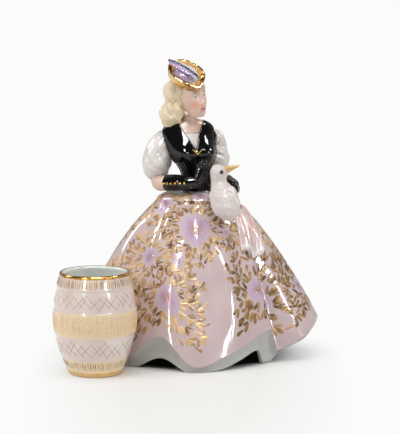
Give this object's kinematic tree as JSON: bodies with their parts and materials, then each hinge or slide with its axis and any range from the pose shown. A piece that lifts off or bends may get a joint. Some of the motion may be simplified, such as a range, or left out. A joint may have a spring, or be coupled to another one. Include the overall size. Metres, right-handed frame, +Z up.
{
  "type": "ceramic lady figurine",
  "caption": "Glazed porcelain lady in a wide folded skirt, black bodice and small hat, holding a goose, with an open barrel-shaped basket beside the skirt",
  "frame": {"origin": "middle of the footprint on the standing plane", "axes": "+Z up from the standing plane, front of the figure towards -Y, +X to the viewer's right"},
  "size_m": [0.1822, 0.162, 0.2082],
  "materials": {
    "glaze_pink": "gloss glaze, painted with gold leaves and lilac blooms",
    "glaze_white": "gloss glaze",
    "glaze_black": "mirror gloss glaze",
    "glaze_flesh": "satin gloss glaze",
    "glaze_blonde": "gloss glaze, washed into the waves",
    "glaze_pearl": "pearl lustre",
    "glaze_dark_green": "gloss glaze",
    "glaze_yellow": "gloss glaze",
    "glaze_lace": "gloss glaze with pink and gold strokes",
    "glaze_cream": "gloss glaze with drawn strokes",
    "gilding": "bright burnished gold over glaze"
  },
  "bodies": {
    "root": {"skirt_shell": "glaze_pink", "torso_core": "glaze_white", "bodice_vest": "glaze_black", "bodice_clasp": "gilding", "head": "glaze_flesh", "hair_cap": "glaze_blonde", "hair_curls": "glaze_blonde", "hat_brim": "gilding", "hat_crown": "glaze_pearl", "hat_feather": "glaze_pearl", "hat_quill": "glaze_dark_green", "right_sleeve": "glaze_white", "left_sleeve": "glaze_white", "right_forearm": "glaze_flesh", "left_forearm": "glaze_flesh", "right_glove": "glaze_black", "left_glove": "glaze_black", "right_glove_buttons": "gilding", "goose_body": "glaze_white", "goose_head": "glaze_white", "goose_beak": "glaze_yellow", "goose_eyes": "glaze_black", "goose_right_wing": "glaze_white", "goose_left_wing": "glaze_white", "kerchief": "glaze_lace", "basket_wall": "glaze_cream", "basket_rim": "gilding", "basket_lute": "glaze_cream"}
  },
  "joints": []
}
